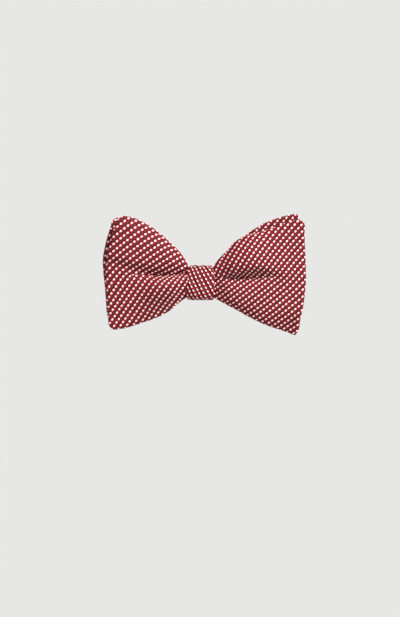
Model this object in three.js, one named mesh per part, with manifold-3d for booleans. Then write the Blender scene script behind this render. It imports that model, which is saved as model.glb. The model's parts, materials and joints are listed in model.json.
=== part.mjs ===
// A pre-tied bow tie: two stacked cloth bows gathered in a knot, on an adjustable neckband
// that closes with a metal hook and eye. Millimetres. The front faces -Y, +X is the viewer's
// right and +Z is up. The origin is the centre of the knot's flat back face.
import * as THREE from 'three';
import { mergeVertices } from 'three/addons/utils/BufferGeometryUtils.js';
import Module from 'manifold-3d';

const wasm = await Module();
wasm.setup();

// Driving dimensions
const GAP = 0.3;
const KNOT = { left: -7.8, right: 7.4, height: 18.2, depth: 15, frontRadius: 5, backRadius: 2 };
const KNOT_WALL = 0.9;
const KNOT_LINING_WALL = 0.6;
const CLOTH = 0.6;
const LAYER_STEP = CLOTH + GAP;
const LINING_INSET = 0.07;
const WAIST_HALF_HEIGHT = 5.2;
const FRONT_BOW = { y: -10.2, rise: 4.5, pleat: 2.2 };
const BACK_BOW = { y: -6.7, rise: 1.2, pleat: 0.6 };
const BAND = { height: 13.8, thickness: 0.9, y: -2.7, halfWidth: 46, frontRadius: 28, rearRadius: 32 };
const NECK_CIRCUMFERENCE = 394;
const METAL = 1;
const BAR_RADIUS = 0.5;
const LOOP_RADIUS = METAL / 2 + GAP + BAND.thickness / 2;
const SLIDER = { y: 42, length: 11, height: 19, endBar: 1.6, centreBar: 1.8, sideBar: 2 };
const HOOK = { y: 77.7, height: 18, window: 3, body: 1.4, neckEnd: 84.4, tipStart: 86.6, tipEnd: 87.7 };
const HOOK_TONGUE_HALF = 2.4;
const HOOK_LEG = 18;
const RETURN_LENGTH = 26;
const SLIDER_LEG = 7;
const EYE = { height: 18, window: 2.6, slotNear: 81.2, slotFar: 90.9, slotHalf: 4.2, endBar: 1.5 };
const EYE_LEG = 22;
const LABEL = { length: 24, height: 11, thickness: 0.4, y: 58 };
const TACK = { length: 1.4, height: 11, thickness: 0.5 };
const EYE_TACK = { from: 16, to: 18.4 };

// Derived places
const bandMiddle = BAND.thickness / 2;
const runX = BAND.halfWidth;
const innerLegX = runX + BAND.thickness + GAP;
const barX = innerLegX + LOOP_RADIUS;
const outerLegX = barX + LOOP_RADIUS;
const eyeX = runX - LOOP_RADIUS;
const cornerSaving = (2 - Math.PI / 2) * 2 * (BAND.frontRadius + BAND.rearRadius);
const bandDepth = (NECK_CIRCUMFERENCE + cornerSaving - 4 * BAND.halfWidth) / 2;
const hingeY = BAND.y + BAND.frontRadius;
const bandRearY = BAND.y + bandDepth;
const eyeBarY = bandRearY - BAND.rearRadius;

const colours = {
  cloth: { color: 0x8e2636, roughness: 0.8, metalness: 0 },
  lining: { color: 0xe4ded2, roughness: 0.9, metalness: 0 },
  thread: { color: 0x5a1722, roughness: 0.7, metalness: 0 },
  metal: { color: 0xc9c9c6, roughness: 0.3, metalness: 1 },
  label: { color: 0x1d1a1c, roughness: 0.8, metalness: 0 },
};

const group = new THREE.Group();

function add(name, geometry, colour) {
  const mesh = new THREE.Mesh(geometry, new THREE.MeshStandardMaterial(colours[colour]));
  mesh.name = name;
  group.add(mesh);
}

// Solids

function extrude(shape, depth, curveSegments = 6) {
  return new THREE.ExtrudeGeometry(shape, { depth, bevelEnabled: false, curveSegments });
}

// A shape drawn in Y and Z, given a thickness along X from x0.
function plateYZ(shape, x0, thickness) {
  const geometry = extrude(shape, thickness);
  const turn = new THREE.Matrix4().makeBasis(
    new THREE.Vector3(0, 1, 0),
    new THREE.Vector3(0, 0, 1),
    new THREE.Vector3(1, 0, 0),
  );
  geometry.applyMatrix4(turn);
  geometry.translate(x0, 0, 0);
  return geometry;
}

function rectangle(path, u0, u1, v0, v1) {
  path.moveTo(u0, v0);
  path.lineTo(u1, v0);
  path.lineTo(u1, v1);
  path.lineTo(u0, v1);
  path.closePath();
  return path;
}

// A rounded rectangle whose low-u corners and high-u corners have their own radii.
function roundedRectangle(path, u0, u1, v0, v1, lowRadius, highRadius) {
  const quarter = Math.PI / 2;
  path.moveTo(u0 + lowRadius, v0);
  path.lineTo(u1 - highRadius, v0);
  path.absarc(u1 - highRadius, v0 + highRadius, highRadius, -quarter, 0);
  path.lineTo(u1, v1 - highRadius);
  path.absarc(u1 - highRadius, v1 - highRadius, highRadius, 0, quarter);
  path.lineTo(u0 + lowRadius, v1);
  path.absarc(u0 + lowRadius, v1 - lowRadius, lowRadius, quarter, 2 * quarter);
  path.lineTo(u0, v0 + lowRadius);
  path.absarc(u0 + lowRadius, v0 + lowRadius, lowRadius, 2 * quarter, 3 * quarter);
  return path;
}

function toManifold(geometry) {
  const plain = geometry.index ? geometry.toNonIndexed() : geometry.clone();
  plain.deleteAttribute('normal');
  plain.deleteAttribute('uv');
  const merged = mergeVertices(plain, 1e-4);
  const vertProperties = new Float32Array(merged.attributes.position.array);
  const triVerts = new Uint32Array(merged.index.array);
  return new wasm.Manifold(new wasm.Mesh({ numProp: 3, vertProperties, triVerts }));
}

function fromManifold(solid) {
  const mesh = solid.getMesh();
  const geometry = new THREE.BufferGeometry();
  geometry.setAttribute('position', new THREE.BufferAttribute(mesh.vertProperties, 3));
  geometry.setIndex(new THREE.BufferAttribute(mesh.triVerts, 1));
  geometry.computeVertexNormals();
  return geometry;
}

function join(geometries) {
  return fromManifold(geometries.map(toManifold).reduce((sum, solid) => sum.add(solid)));
}

function cut(geometry, tools) {
  const whole = toManifold(geometry);
  return fromManifold(tools.map(toManifold).reduce((rest, tool) => rest.subtract(tool), whole));
}

function barAt(x, y, length) {
  const bar = new THREE.CylinderGeometry(BAR_RADIUS, BAR_RADIUS, length, 12);
  bar.rotateX(Math.PI / 2);
  bar.translate(x, y, 0);
  return bar;
}

function boxAt(x0, x1, y0, y1, z0, z1) {
  const box = new THREE.BoxGeometry(x1 - x0, y1 - y0, z1 - z0);
  box.translate((x0 + x1) / 2, (y0 + y1) / 2, (z0 + z1) / 2);
  return box;
}

// Bands: a route in plan, thickened to both sides and given the band's height.

function thickened(route, thickness) {
  const left = [];
  const right = [];
  route.forEach((point, i) => {
    const before = route[Math.max(i - 1, 0)];
    const after = route[Math.min(i + 1, route.length - 1)];
    const along = after.clone().sub(before).normalize();
    const side = new THREE.Vector2(-along.y, along.x).multiplyScalar(thickness / 2);
    left.push(point.clone().add(side));
    right.unshift(point.clone().sub(side));
  });
  return new THREE.Shape([...left, ...right]);
}

function band(route, height = BAND.height, thickness = BAND.thickness) {
  const geometry = extrude(thickened(route, thickness), height);
  geometry.translate(0, 0, -height / 2);
  return geometry;
}

function arcPoints(x, y, radius, from, to, steps) {
  const points = [];
  for (let i = 0; i <= steps; i += 1) {
    const angle = THREE.MathUtils.degToRad(from + ((to - from) * i) / steps);
    points.push(new THREE.Vector2(x + radius * Math.cos(angle), y + radius * Math.sin(angle)));
  }
  return points;
}

// Bows: each wing is a patch between a top edge, a bottom edge and an end edge.

const topSign = { left: -1, right: 1 };

// Outline points in X and Z outside the knot, in order from the waist; X is taken away from it.
const frontOutline = {
  left: {
    top: [[7.9, 6.6], [10.4, 13.2], [16.5, 20.9], [24.2, 27.6], [33, 33], [42.6, 35]],
    bottom: [[7.9, -6.4], [10.4, -9.4], [16.5, -14.4], [26, -19.2], [36.6, -22.8], [46.9, -25]],
    end: [[46.9, -25], [49.5, -14], [50.4, 0], [50.3, 12], [47.6, 24], [42.6, 35]],
  },
  right: {
    top: [[7.6, 6.6], [10, 12.6], [16.4, 19.2], [25, 25.2], [39, 28.6], [53.6, 32.4]],
    bottom: [[7.6, -6.4], [10.4, -9.6], [17.7, -13.7], [28, -19.4], [38.3, -23.4], [49.9, -27.2]],
    end: [[49.9, -27.2], [53.4, -15], [55.4, -2], [55.4, 12], [54.8, 24], [53.6, 32.4]],
  },
};

const backOutline = {
  left: {
    top: [[7.9, 6.4], [10.4, 11.6], [16.5, 19.2], [24.2, 26], [33, 31.6], [45.9, 34.3]],
    bottom: [[7.9, -6.2], [10.4, -8.6], [16.5, -13.2], [26, -18], [36.6, -21.4], [48, -23.4]],
    end: [[48, -23.4], [50.6, -13], [51.6, 0], [52.2, 12], [49.4, 25], [45.9, 34.3]],
  },
  right: {
    top: [[7.6, 6.4], [10, 11.8], [16.4, 19], [25, 26.2], [37.4, 32.8], [50.8, 36.5]],
    bottom: [[7.6, -6.2], [10.4, -8.8], [17.7, -12.8], [28, -18.2], [38.3, -22], [48.6, -25.4]],
    end: [[48.6, -25.4], [52, -14], [53.6, -2], [53.6, 12], [52.8, 25], [50.8, 36.5]],
  },
};

const SPAN_STATIONS = [0, 1 / 6, 2 / 6, 5 / 12, 3 / 6, 4 / 6, 5 / 6, 11 / 12, 1];
const HEIGHT_CELLS = 8;

function edgeCurve(points) {
  const curve = new THREE.SplineCurve(points.map(([x, z]) => new THREE.Vector2(x, z)));
  return (t) => curve.getPoint(t);
}

const PLEAT = { height: 0.53, width: 0.13, reach: 0.85 };

// The lobes stand forward of the waist, with a pleat's valley between them.
function lobeDepth(bow, span, height) {
  const rise = Math.sin(span * Math.PI * 0.62);
  const crown = 0.45 + 0.55 * Math.sin(Math.PI * (0.1 + 0.8 * height));
  const across = Math.exp(-(((height - PLEAT.height) / PLEAT.width) ** 2));
  const along = Math.sin(Math.PI * Math.min(span / PLEAT.reach, 1));
  return bow.y - bow.rise * rise * crown + bow.pleat * across * along;
}

function wingPoint(bow, side, span, height) {
  const inset = bow.inset;
  const s = span * (1 - inset);
  const v = inset + height * (1 - 2 * inset);
  const { top, bottom, end } = bow.edges[side];
  const low = bottom(s);
  const high = top(s);
  const across = low.clone().lerp(high, v);
  const straight = bottom(1).lerp(top(1), v);
  across.add(end(v).sub(straight).multiplyScalar(s ** 3));
  return new THREE.Vector3(topSign[side] * across.x, lobeDepth(bow, s, v), across.y);
}

// A closed layer of cloth over both wings, from the left end through the waist to the right.
function bowLayer(outline, size, shift, inset) {
  const edges = {};
  for (const side of ['left', 'right']) {
    const { top, bottom, end } = outline[side];
    edges[side] = {
      top: edgeCurve([[0, WAIST_HALF_HEIGHT], ...top]),
      bottom: edgeCurve([[0, -WAIST_HALF_HEIGHT], ...bottom]),
      end: edgeCurve(end),
    };
  }
  const bow = { ...size, edges, inset };
  const columns = [
    ...SPAN_STATIONS.slice(1).reverse().map((span) => ['left', span]),
    ...SPAN_STATIONS.map((span) => ['right', span]),
  ];
  const positions = [];
  for (const offset of [-CLOTH / 2, CLOTH / 2]) {
    for (const [side, span] of columns) {
      for (let j = 0; j <= HEIGHT_CELLS; j += 1) {
        const point = wingPoint(bow, side, span, j / HEIGHT_CELLS);
        positions.push(point.x, point.y + shift + offset, point.z);
      }
    }
  }
  const rows = HEIGHT_CELLS + 1;
  const layer = columns.length * rows;
  const front = (i, j) => i * rows + j;
  const back = (i, j) => layer + front(i, j);
  const index = [];
  const quad = (a, b, c, d) => index.push(a, b, c, a, c, d);
  for (let i = 0; i < columns.length - 1; i += 1) {
    for (let j = 0; j < HEIGHT_CELLS; j += 1) {
      quad(front(i, j), front(i + 1, j), front(i + 1, j + 1), front(i, j + 1));
      quad(back(i, j), back(i, j + 1), back(i + 1, j + 1), back(i + 1, j));
    }
    quad(front(i, 0), back(i, 0), back(i + 1, 0), front(i + 1, 0));
    const rim = HEIGHT_CELLS;
    quad(front(i, rim), front(i + 1, rim), back(i + 1, rim), back(i, rim));
  }
  const last = columns.length - 1;
  for (let j = 0; j < HEIGHT_CELLS; j += 1) {
    quad(front(0, j), front(0, j + 1), back(0, j + 1), back(0, j));
    quad(front(last, j), back(last, j), back(last, j + 1), front(last, j + 1));
  }
  const geometry = new THREE.BufferGeometry();
  geometry.setAttribute('position', new THREE.Float32BufferAttribute(positions, 3));
  geometry.setIndex(index);
  geometry.computeVertexNormals();
  return geometry;
}

function addBow(name, outline, size) {
  add(`${name}_face`, bowLayer(outline, size, -LAYER_STEP, 0), 'cloth');
  add(`${name}_interlining`, bowLayer(outline, size, 0, LINING_INSET), 'lining');
  add(`${name}_backing`, bowLayer(outline, size, LAYER_STEP, 0), 'cloth');
}

addBow('front_bow', frontOutline, FRONT_BOW);
addBow('back_bow', backOutline, BACK_BOW);

// Knot: a wrap of the same cloth over a lining, around the waists of both bows and the band.

function knotSleeve(inset, wall, shorten) {
  const half = KNOT.height / 2 - inset;
  const y0 = -KNOT.depth + inset;
  const y1 = -inset;
  const front = KNOT.frontRadius - inset;
  const back = Math.max(KNOT.backRadius - inset, 0.4);
  const shape = roundedRectangle(new THREE.Shape(), y0, y1, -half, half, front, back);
  const innerBack = Math.max(back - wall, 0.2);
  const hole = [y0 + wall, y1 - wall, -half + wall, half - wall, front - wall, innerBack];
  shape.holes.push(roundedRectangle(new THREE.Path(), ...hole));
  return plateYZ(shape, KNOT.left + shorten, KNOT.right - KNOT.left - 2 * shorten);
}

add('knot_wrap', knotSleeve(0, KNOT_WALL, 0), 'cloth');
add('knot_interlining', knotSleeve(KNOT_WALL + GAP, KNOT_LINING_WALL, GAP), 'lining');

const WAIST_THREAD = { front: -12.4, back: -4.3, half: 6.9, wall: 0.5, width: 2 };

// The thread wound round both waists before the knot covers them.
function waistThread() {
  const { front, back, half, wall, width } = WAIST_THREAD;
  const shape = roundedRectangle(new THREE.Shape(), front, back, -half, half, 2.4, 1);
  const hole = [front + wall, back - wall, wall - half, half - wall, 1.9, 0.5];
  shape.holes.push(roundedRectangle(new THREE.Path(), ...hole));
  return plateYZ(shape, -width / 2, width);
}

add('waist_thread', waistThread(), 'thread');

const STITCH = { half: 5.6, y: -3.4, thickness: 0.4 };

// The line of hand stitches that closes the wrap, under the knot near its back.
function closingStitch() {
  const top = -KNOT.height / 2 - GAP;
  const half = STITCH.thickness / 2;
  return boxAt(-STITCH.half, STITCH.half, STITCH.y - half, STITCH.y + half, top - 2 * half, top);
}

add('knot_closing_stitch', closingStitch(), 'thread');

// Neckband: front stretch through the knot, then a long left part and a short right part.

const frontCentreX = BAND.halfWidth - BAND.frontRadius;
const rearCentreX = BAND.halfWidth - BAND.rearRadius;

add('neckband_front', band([
  ...arcPoints(-frontCentreX, hingeY, BAND.frontRadius, 180.5, 270, 10),
  ...arcPoints(frontCentreX, hingeY, BAND.frontRadius, 270, 359.5, 10),
]), 'cloth');

const hingeGap = 0.25;
add('neckband_left', band([
  new THREE.Vector2(-runX, hingeY + hingeGap),
  ...arcPoints(-rearCentreX, eyeBarY, BAND.rearRadius, 180, 90, 10),
  ...arcPoints(rearCentreX, eyeBarY, BAND.rearRadius, 90, 0, 10),
  ...arcPoints(eyeX, eyeBarY, LOOP_RADIUS, 0, -180, 8).slice(1),
  ...arcPoints(rearCentreX, eyeBarY, BAND.rearRadius - 2 * LOOP_RADIUS, EYE_LEG / 3, EYE_LEG, 3),
]), 'cloth');

add('neckband_right', band([
  new THREE.Vector2(runX, hingeY + hingeGap),
  new THREE.Vector2(runX, HOOK.y - 1),
]), 'cloth');

add('slider_strap', band([
  new THREE.Vector2(innerLegX, SLIDER.y + SLIDER_LEG),
  ...arcPoints(barX, SLIDER.y - SLIDER.centreBar / 2, LOOP_RADIUS, 180, 360, 8),
  new THREE.Vector2(outerLegX, SLIDER.y + RETURN_LENGTH),
]), 'cloth');

add('hook_strap', band([
  new THREE.Vector2(innerLegX, HOOK.y - HOOK_LEG),
  ...arcPoints(barX, HOOK.y, LOOP_RADIUS, 180, 0, 8),
  new THREE.Vector2(outerLegX, HOOK.y - 1.2),
  new THREE.Vector2(barX, HOOK.y - 4),
  new THREE.Vector2(barX, HOOK.y - HOOK_LEG),
]), 'cloth');

// Metal: a stamped slider with a centre bar, a hook with a bent tongue and a slotted eye.

function sliderFrame() {
  const { length, height, endBar, centreBar, sideBar } = SLIDER;
  const half = length / 2;
  const shape = roundedRectangle(new THREE.Shape(), -half, half, -height / 2, height / 2, 1.5, 1.5);
  const windowTop = height / 2 - sideBar;
  const near = centreBar / 2;
  const far = half - endBar;
  const [x0, x1] = [barX - METAL, barX + METAL];
  const frame = plateYZ(shape, barX - METAL / 2, METAL);
  const windows = [
    boxAt(x0, x1, -far, -near, -windowTop, windowTop),
    boxAt(x0, x1, near, far, -windowTop, windowTop),
  ];
  const geometry = cut(frame, windows);
  geometry.translate(0, SLIDER.y, 0);
  return geometry;
}

add('slider_frame', sliderFrame(), 'metal');

const strapWindowHalf = BAND.height / 2 + GAP;

// The end of a hook or eye that holds a strap: two arms and a round bar between them.
function strapEnd(x, barY, farY, height) {
  const low = Math.min(barY, farY);
  const high = Math.max(barY, farY);
  const arms = [-1, 1].map((side) => {
    const z0 = side > 0 ? strapWindowHalf : -height / 2;
    return boxAt(x - METAL / 2, x + METAL / 2, low, high, z0, z0 + height / 2 - strapWindowHalf);
  });
  return [...arms, barAt(x, barY, height)];
}

function hook() {
  const half = HOOK.height / 2;
  const bodyStart = HOOK.y + HOOK.window;
  const outline = new THREE.Shape();
  outline.moveTo(bodyStart, -half);
  outline.lineTo(bodyStart + HOOK.body, -half);
  outline.lineTo(HOOK.neckEnd, -HOOK_TONGUE_HALF);
  outline.lineTo(HOOK.tipEnd, -HOOK_TONGUE_HALF);
  outline.lineTo(HOOK.tipEnd, HOOK_TONGUE_HALF);
  outline.lineTo(HOOK.neckEnd, HOOK_TONGUE_HALF);
  outline.lineTo(bodyStart + HOOK.body, half);
  outline.lineTo(bodyStart, half);
  outline.closePath();
  const plate = plateYZ(outline, barX - METAL / 2, METAL);
  const tipX = eyeX - 0.2;
  const tongue = HOOK_TONGUE_HALF;
  const tip = boxAt(tipX, barX, HOOK.tipStart, HOOK.tipEnd, -tongue, tongue);
  const reach = bodyStart + 0.5;
  return join([plate, tip, ...strapEnd(barX, HOOK.y, reach, HOOK.height)]);
}

add('hook', hook(), 'metal');

function eye() {
  const half = EYE.height / 2;
  const near = EYE.slotNear - EYE.endBar;
  const far = eyeBarY - EYE.window;
  const shape = roundedRectangle(new THREE.Shape(), near, far, -half, half, 3, 0.3);
  const blank = plateYZ(shape, eyeX - METAL / 2, METAL);
  const slot = boxAt(eyeX - METAL, eyeX + METAL, EYE.slotNear, EYE.slotFar, -EYE.slotHalf, EYE.slotHalf);
  return join([cut(blank, [slot]), ...strapEnd(eyeX, eyeBarY, far - 0.5, EYE.height)]);
}

add('eye', eye(), 'metal');

// Bar tacks and label

const tackY = SLIDER.y + SLIDER_LEG - TACK.length;
const tackX = outerLegX + bandMiddle + GAP;
add('slider_bar_tack', boxAt(
  tackX,
  tackX + TACK.thickness,
  tackY,
  tackY + TACK.length,
  -TACK.height / 2,
  TACK.height / 2,
), 'thread');

const eyeTackRadius = BAND.rearRadius + bandMiddle + GAP + TACK.thickness / 2;
add('eye_bar_tack', band(
  arcPoints(rearCentreX, eyeBarY, eyeTackRadius, EYE_TACK.from, EYE_TACK.to, 2),
  TACK.height,
  TACK.thickness,
), 'thread');

const labelX = -runX + bandMiddle + GAP;
add('blank_label', boxAt(
  labelX,
  labelX + LABEL.thickness,
  LABEL.y,
  LABEL.y + LABEL.length,
  -LABEL.height / 2,
  LABEL.height / 2,
), 'label');

export default group;
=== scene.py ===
import json
import math

import bmesh
import bpy
import numpy as np
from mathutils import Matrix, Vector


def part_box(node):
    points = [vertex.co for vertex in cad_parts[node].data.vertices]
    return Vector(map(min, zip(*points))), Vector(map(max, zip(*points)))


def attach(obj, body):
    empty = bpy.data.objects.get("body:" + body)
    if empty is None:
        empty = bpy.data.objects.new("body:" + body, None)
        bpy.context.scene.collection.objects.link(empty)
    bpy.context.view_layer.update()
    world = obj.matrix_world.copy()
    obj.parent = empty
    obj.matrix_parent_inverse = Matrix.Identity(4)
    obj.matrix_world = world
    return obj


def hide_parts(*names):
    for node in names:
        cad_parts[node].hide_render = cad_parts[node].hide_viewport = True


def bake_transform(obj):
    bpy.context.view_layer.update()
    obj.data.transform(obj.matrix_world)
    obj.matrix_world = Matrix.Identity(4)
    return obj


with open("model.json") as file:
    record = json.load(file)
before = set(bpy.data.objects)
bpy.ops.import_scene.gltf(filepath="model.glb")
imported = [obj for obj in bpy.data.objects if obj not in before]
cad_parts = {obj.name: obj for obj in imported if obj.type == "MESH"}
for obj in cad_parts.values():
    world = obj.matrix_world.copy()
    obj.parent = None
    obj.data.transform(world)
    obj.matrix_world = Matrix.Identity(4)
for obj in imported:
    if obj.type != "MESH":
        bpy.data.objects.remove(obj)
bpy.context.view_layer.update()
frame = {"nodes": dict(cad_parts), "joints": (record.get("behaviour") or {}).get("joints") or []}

# The bow tie's looks, in metres in the CAD frame: the front faces -Y, +X is the viewer's right
# and +Z is up. Shapes are worked out in millimetres and turned into metres in make_mesh and
# make_thread. LOW and HIGH are the corners of each CAD node's box, in millimetres.
MM = 0.001
scene = bpy.context.scene
LOW = {name: np.array(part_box(name)[0]) / MM for name in frame["nodes"]}
HIGH = {name: np.array(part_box(name)[1]) / MM for name in frame["nodes"]}
JOINTS = {joint["name"]: joint for joint in frame["joints"]}

# ---- camera, stage and light

# The view's height at the front of the bow, and the point (x, z) in its middle.
VIEW_HEIGHT_MM = 327.0
VIEW_CENTRE_MM = (-0.5, -13.8)
LENS_MM = 135.0
SENSOR_MM = 36.0

# The sky fades between these heights: 0 is the horizon and 1 is straight up.
SKY_FADE_FROM, SKY_FADE_TO = 0.16, 0.60
SKY_STRENGTH_BELOW, SKY_STRENGTH_ABOVE = 0.80, 0.22
SKY_COLOUR = (1.0, 1.0, 0.985, 1)

FLOOR_RADIUS = 1.0
FLOOR_HEIGHT = -0.34
FLOOR_COLOUR = (0.50, 0.50, 0.49, 1)

# Each light's place, what it aims at, its size, its power and its colour.
LIGHTS = {
    "key": ((2.46, -2.55, 2.88), (0, 0, 0), 1.5, 306, (1, 0.985, 0.96)),
    "fill": ((-2.7, -3.6, 2.0), (0, 0, 0), 2.4, 27, (0.97, 0.985, 1)),
    "rear": ((0.9, 3.9, 2.7), (0, 0.05, 0), 2.1, 126, (1, 1, 1)),
}


def add_object(name, data):
    obj = bpy.data.objects.new(name, data)
    scene.collection.objects.link(obj)
    return obj


def add_camera():
    data = bpy.data.cameras.new("camera")
    data.lens = LENS_MM
    data.sensor_width = SENSOR_MM
    data.clip_start, data.clip_end = 0.01, 20
    camera = add_object("camera", data)
    front = LOW["front_bow_face"][1]
    distance = VIEW_HEIGHT_MM * LENS_MM / SENSOR_MM
    x, z = VIEW_CENTRE_MM
    camera.location = (x * MM, (front - distance) * MM, z * MM)
    camera.rotation_euler = (math.pi / 2, 0, 0)
    scene.camera = camera


def add_area_light(name, place, target, size, power, colour):
    data = bpy.data.lights.new(name, "AREA")
    data.shape, data.size, data.energy, data.color = "DISK", size, power, colour
    light = add_object(name, data)
    light.location = place
    aim = np.array(target) - np.array(place)
    pitch = math.atan2(math.hypot(aim[0], aim[1]), -aim[2])
    light.rotation_euler = (pitch, 0, math.atan2(-aim[0], aim[1]))


def add_world():
    """A pale studio sky, dimmer overhead."""
    world = bpy.data.worlds.new("world")
    world.use_nodes = True
    tree = world.node_tree
    direction = tree.nodes.new("ShaderNodeTexCoord")
    split = tree.nodes.new("ShaderNodeSeparateXYZ")
    ramp = tree.nodes.new("ShaderNodeMapRange")
    ramp.interpolation_type = "SMOOTHSTEP"
    ramp.inputs["From Min"].default_value = SKY_FADE_FROM
    ramp.inputs["From Max"].default_value = SKY_FADE_TO
    ramp.inputs["To Min"].default_value = SKY_STRENGTH_BELOW
    ramp.inputs["To Max"].default_value = SKY_STRENGTH_ABOVE
    background = tree.nodes["Background"]
    background.inputs["Color"].default_value = SKY_COLOUR
    tree.links.new(direction.outputs["Generated"], split.inputs[0])
    tree.links.new(split.outputs[2], ramp.inputs["Value"])
    tree.links.new(ramp.outputs[0], background.inputs["Strength"])
    scene.world = world


def add_stage():
    floor = make_disc("floor", FLOOR_RADIUS, FLOOR_HEIGHT)
    floor.data.materials.append(paper_material("stage_paper", FLOOR_COLOUR))
    add_world()
    scene.view_settings.view_transform = "Standard"
    for name, settings in LIGHTS.items():
        add_area_light(name, *settings)


# ---- materials

class Nodes:
    """A material's node tree, with short ways to add nodes and link them."""

    def __init__(self, name):
        self.material = bpy.data.materials.new(name)
        self.material.use_nodes = True
        self.tree = self.material.node_tree
        self.shader = self.tree.nodes["Principled BSDF"]

    def add(self, kind, **settings):
        node = self.tree.nodes.new("ShaderNode" + kind)
        for key, value in settings.items():
            setattr(node, key, value)
        return node

    def set(self, socket, value):
        """Links the value if it is another node's output, and else sets it."""
        if hasattr(value, "is_linked"):
            self.tree.links.new(value, socket)
        else:
            socket.default_value = value

    def math(self, operation, a, b=0.0, c=0.0):
        node = self.add("Math", operation=operation)
        for socket, value in zip(node.inputs, (a, b, c)):
            self.set(socket, value)
        return node.outputs[0]

    def times(self, a, b):
        return self.math("MULTIPLY", a, b)

    def wave(self, value, repeats):
        """A sine from -1 to 1 with so many repeats for each unit of the value."""
        return self.math("SINE", self.times(value, 2 * math.pi * repeats))

    def step(self, value, low, high, out_low=0.0, out_high=1.0):
        """A smooth step from out_low at low to out_high at high."""
        node = self.add("MapRange", interpolation_type="SMOOTHSTEP")
        for socket, number in zip(node.inputs, (value, low, high, out_low, out_high)):
            self.set(socket, number)
        return node.outputs[0]

    def mix(self, factor, a, b, blend="MIX"):
        """Mixes two colours, which are inputs 6 and 7 of the node."""
        node = self.add("Mix", data_type="RGBA", blend_type=blend)
        self.set(node.inputs[0], factor)
        self.set(node.inputs[6], a)
        self.set(node.inputs[7], b)
        return node.outputs[2]

    def noise(self, vector, scale, detail=2.0):
        node = self.add("TexNoise")
        self.set(node.inputs["Vector"], vector)
        node.inputs["Scale"].default_value = scale
        node.inputs["Detail"].default_value = detail
        return node.outputs["Fac"]

    def split(self, vector):
        node = self.add("SeparateXYZ")
        self.set(node.inputs[0], vector)
        return node.outputs

    def colour(self, value):
        self.set(self.shader.inputs["Base Color"], value)

    def roughness(self, value):
        self.set(self.shader.inputs["Roughness"], value)

    def bump(self, height, distance, strength):
        node = self.add("Bump")
        node.inputs["Strength"].default_value = strength
        node.inputs["Distance"].default_value = distance
        self.set(node.inputs["Height"], height)
        self.set(self.shader.inputs["Normal"], node.outputs[0])

    def constants(self, **values):
        for name, value in values.items():
            self.shader.inputs[name.replace("_", " ")].default_value = value

    def object_place(self):
        return self.add("TexCoord").outputs["Object"]

    def weave_map(self):
        return self.add("UVMap", uv_map="weave").outputs[0]


def paper_material(name, colour):
    nodes = Nodes(name)
    grain = nodes.noise(nodes.object_place(), 40.0)
    darker = tuple(0.97 * c for c in colour[:3]) + (1,)
    nodes.colour(nodes.mix(grain, colour, darker))
    nodes.constants(Roughness=0.9, Specular_IOR_Level=0.08)
    return nodes.material


# One cell of the weave, in millimetres: a rib that carries one white dot, a fine dark line on
# its upper side, partly the weave's own dark edge and partly painted shadow of the rib, a deep
# crimson band on its lower side, and a plain brownish rib between.
DOT_PITCH = 2.22
RIB_PITCH = 2.65
DOT_HALF = (0.58, 0.54)
KNOT_DOT_HALF = (0.64, 0.46)
RIB_EDGE = 0.60
LINE_EDGE = 0.98
SHADE_EDGE = 1.05

# How far the threads wander, in cells, and how ragged a dot's edge is, as a share of the dot.
WANDER = 0.05
FRAY = 0.35

# Threads in one cell: wefts across the rib, twill lines on the plain rib, strands in a dot.
WEFTS = 6
TWILLS = 5.0
STRANDS = 9

WHITE = (0.98, 0.89, 0.87, 1)
WHITE_SHADED = (0.86, 0.62, 0.61, 1)
CRIMSON = (0.50, 0.021, 0.052, 1)
CRIMSON_DEEP = (0.27, 0.006, 0.016, 1)
CRIMSON_SHADED = (0.16, 0.006, 0.012, 1)
MAROON = (0.28, 0.044, 0.047, 1)
BROWN = (0.14, 0.040, 0.034, 1)
# The dark of the twill lines, and of the line on each rib's upper side; that line is partly the
# weave's dark edge and partly painted shadow of the rib.
LINE_AND_SHADOW_DARK = (0.010, 0.0015, 0.002, 1)
CAST_DARK = (0.93, 0.90, 0.90, 1)
CAST_LIGHT = (1.0, 1.0, 1.0, 1)
CLOTH_BUMP = 0.00022


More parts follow.
